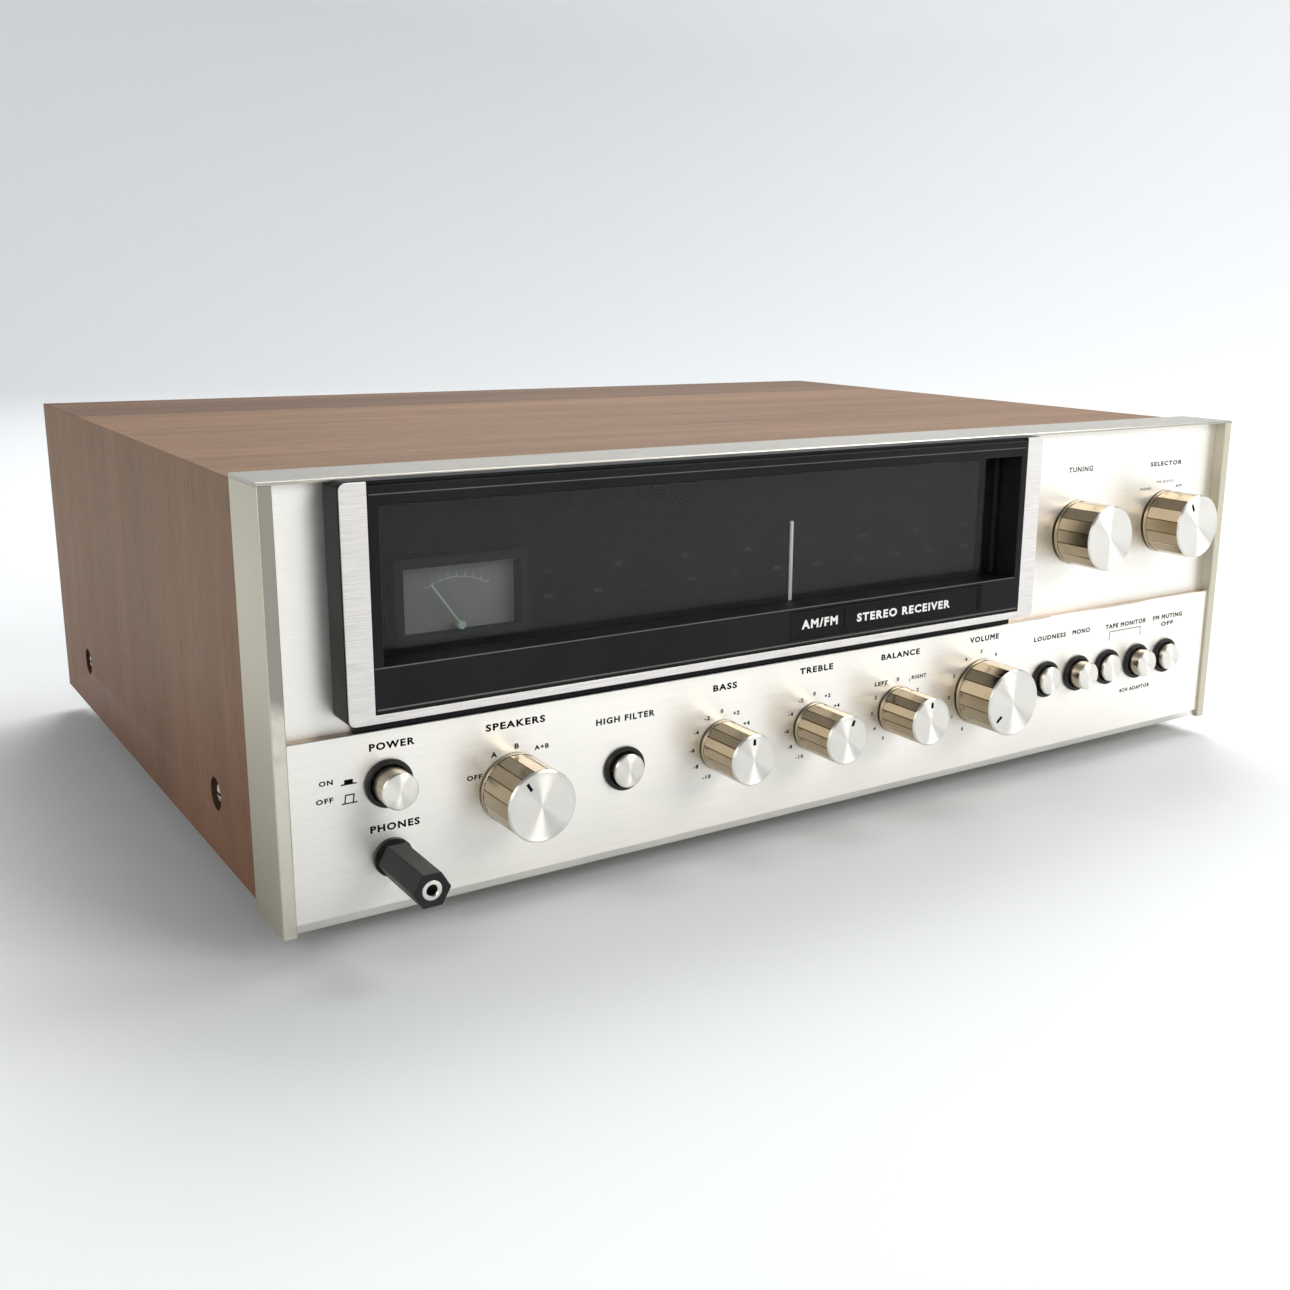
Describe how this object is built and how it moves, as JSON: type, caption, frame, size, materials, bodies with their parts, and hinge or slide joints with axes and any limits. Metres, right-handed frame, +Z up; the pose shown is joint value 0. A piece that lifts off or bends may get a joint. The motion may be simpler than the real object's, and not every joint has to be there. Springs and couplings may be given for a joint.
{
  "type": "stereo receiver",
  "caption": "Wood-sleeved stereo receiver with a brushed metal front, a long recessed dial window, turned knobs, push buttons and rear sockets.",
  "frame": {"origin": "centre of the outer box, on the surface the feet stand on", "axes": "+Z up, front panel faces -Y, +X to the right of someone facing the front"},
  "size_m": [0.46, 0.378, 0.1542],
  "materials": {
    "walnut_veneer": "satin walnut veneer, fine straight grain",
    "plated_screw": "yellow zinc plated steel",
    "foot_plastic": "black moulded plastic",
    "plated_steel": "zinc plated sheet and turned steel",
    "black_painted_steel": "satin black paint",
    "trim_aluminium": "satin anodised aluminium, slightly warm",
    "brushed_panel": "horizontally brushed anodised aluminium",
    "black_gloss_plastic": "semi-gloss black moulding",
    "brushed_overlay": "coarse horizontal brushing",
    "nameplate_black": "black plate with light border",
    "smoked_glass": "smoked dial glass",
    "dial_backing": "dark printed scale",
    "pointer_white": "off-white",
    "lamp_glass": "clear tubular lamp",
    "meter_housing": "dark grey-green",
    "drum_plastic": "ivory moulding",
    "cast_housing": "cast housing",
    "black_collar": "black moulded collar",
    "switch_body": "phenolic body",
    "adapter_plastic": "black hexagonal moulding",
    "adapter_metal": "nickel plated",
    "jack_metal": "nickel plated shells",
    "terminal_plastic": "black phenolic",
    "antenna_plastic": "black plastic",
    "transformer_iron": "dipped laminations",
    "capacitor_can": "sleeved can",
    "anodised_fins": "black anodised",
    "transistor_can": "plated can",
    "board_phenolic": "phenolic board",
    "turned_knob": "turned face, fluted polished side",
    "turned_button": "turned aluminium cap"
  },
  "bodies": {
    "chassis": {"wood_top": "walnut_veneer", "wood_left_side": "walnut_veneer", "wood_right_side": "walnut_veneer", "case_screws": "plated_screw", "feet": "foot_plastic", "bottom_cover": "plated_steel", "chassis_tray": "plated_steel", "rear_panel": "black_painted_steel", "trim_top_rail": "trim_aluminium", "trim_left_rail": "trim_aluminium", "trim_right_rail": "trim_aluminium", "lower_panel": "brushed_panel", "upper_panel": "brushed_panel", "front_subpanel": "plated_steel", "tuner_bezel": "black_gloss_plastic", "bezel_overlay": "brushed_overlay", "window_frame": "black_gloss_plastic", "nameplate": "nameplate_black", "dial_glass": "smoked_glass", "dial_scale": "dial_backing", "pointer_rail": "plated_steel", "dial_lamps": "lamp_glass", "signal_meter": "meter_housing", "tuning_capacitor": "cast_housing", "rotary_controls": "plated_steel", "control_nuts": "plated_screw", "button_collars": "black_collar", "push_switches": "switch_body", "phones_jack": "black_collar", "input_jacks": "jack_metal", "speaker_terminals": "terminal_plastic", "antenna_terminals": "terminal_plastic", "ac_outlets": "terminal_plastic", "cord_gland": "terminal_plastic", "power_transformer": "transformer_iron", "filter_capacitors": "capacitor_can", "heat_sink": "anodised_fins", "power_transistors": "transistor_can", "circuit_boards": "board_phenolic"},
    "speakers_control": {"speakers_knob": "turned_knob"},
    "bass_control": {"bass_knob": "turned_knob"},
    "treble_control": {"treble_knob": "turned_knob"},
    "balance_control": {"balance_knob": "turned_knob"},
    "volume_control": {"volume_knob": "turned_knob"},
    "selector_control": {"selector_knob": "turned_knob"},
    "tuning_drive": {"tuning_knob": "turned_knob", "tuning_shaft": "plated_steel"},
    "pointer": {"dial_pointer": "pointer_white"},
    "drum": {"tuning_drum": "drum_plastic"},
    "needle": {"meter_needle": "pointer_white"},
    "power_push": {"power_button": "turned_button"},
    "high_filter_push": {"high_filter_button": "turned_button"},
    "loudness_push": {"loudness_button": "turned_button"},
    "mono_push": {"mono_button": "turned_button"},
    "tape_1_push": {"tape_1_button": "turned_button"},
    "tape_2_push": {"tape_2_button": "turned_button"},
    "fm_muting_push": {"fm_muting_button": "turned_button"},
    "headphone_adapter": {"phone_adapter": "adapter_plastic", "adapter_barrel": "adapter_metal"},
    "bar_antenna": {"am_antenna": "antenna_plastic"}
  },
  "joints": [
    {"name": "speakers_turn", "type": "hinge", "parent": "chassis", "child": "speakers_control", "pos_m": [-0.1482, -0.1578, 0.044], "axis": [0, 1, 0], "range_deg": [-30, 60]},
    {"name": "bass_turn", "type": "hinge", "parent": "chassis", "child": "bass_control", "pos_m": [-0.0614, -0.1578, 0.0442], "axis": [0, 1, 0], "range_deg": [-150, 150]},
    {"name": "treble_turn", "type": "hinge", "parent": "chassis", "child": "treble_control", "pos_m": [-0.0172, -0.1578, 0.0442], "axis": [0, 1, 0], "range_deg": [-172, 128]},
    {"name": "balance_turn", "type": "hinge", "parent": "chassis", "child": "balance_control", "pos_m": [0.0262, -0.1578, 0.0443], "axis": [0, 1, 0], "range_deg": [-150, 150]},
    {"name": "volume_turn", "type": "hinge", "parent": "chassis", "child": "volume_control", "pos_m": [0.0736, -0.1578, 0.0446], "axis": [0, 1, 0], "range_deg": [-22, 278]},
    {"name": "selector_turn", "type": "hinge", "parent": "chassis", "child": "selector_control", "pos_m": [0.191, -0.1578, 0.1089], "axis": [0, 1, 0], "range_deg": [-30, 90]},
    {"name": "tuning_turn", "type": "hinge", "parent": "chassis", "child": "tuning_drive", "pos_m": [0.1314, -0.1578, 0.1085], "axis": [0, 1, 0], "range_deg": [-1150, 1120]},
    {"name": "pointer_slide", "type": "slide", "parent": "chassis", "child": "pointer", "axis": [1, 0, 0], "range_m": [-0.1015, 0.099]},
    {"name": "drum_turn", "type": "hinge", "parent": "chassis", "child": "drum", "pos_m": [0.048, -0.1578, 0.096], "axis": [0, 1, 0], "range_deg": [-162, 158]},
    {"name": "needle_swing", "type": "hinge", "parent": "chassis", "child": "needle", "pos_m": [-0.1615, -0.1578, 0.1012], "axis": [0, 1, 0], "range_deg": [0, 70]},
    {"name": "power_press", "type": "slide", "parent": "chassis", "child": "power_push", "axis": [0, 1, 0], "range_m": [0, 0.004], "stiffness_N_per_m": 300},
    {"name": "high_filter_press", "type": "slide", "parent": "chassis", "child": "high_filter_push", "axis": [0, 1, 0], "range_m": [-0.004, 0]},
    {"name": "loudness_press", "type": "slide", "parent": "chassis", "child": "loudness_push", "axis": [0, 1, 0], "range_m": [-0.004, 0]},
    {"name": "mono_press", "type": "slide", "parent": "chassis", "child": "mono_push", "axis": [0, 1, 0], "range_m": [0, 0.004], "stiffness_N_per_m": 300},
    {"name": "tape_1_press", "type": "slide", "parent": "chassis", "child": "tape_1_push", "axis": [0, 1, 0], "range_m": [-0.004, 0]},
    {"name": "tape_2_press", "type": "slide", "parent": "chassis", "child": "tape_2_push", "axis": [0, 1, 0], "range_m": [0, 0.004], "stiffness_N_per_m": 300},
    {"name": "fm_muting_press", "type": "slide", "parent": "chassis", "child": "fm_muting_push", "axis": [0, 1, 0], "range_m": [-0.004, 0]},
    {"name": "adapter_unplug", "type": "slide", "parent": "chassis", "child": "headphone_adapter", "axis": [0, -1, 0], "range_m": [0, 0.032]},
    {"name": "antenna_swing", "type": "hinge", "parent": "chassis", "child": "bar_antenna", "pos_m": [0.195, 0.1732, 0.125], "axis": [0, 0, -1], "range_deg": [0, 90]}
  ],
  "couplings": [
    {"joint": "pointer_slide", "follows": "tuning_turn", "m_per_rad": 0.005},
    {"joint": "drum_turn", "follows": "tuning_turn", "ratio": 0.13889}
  ]
}
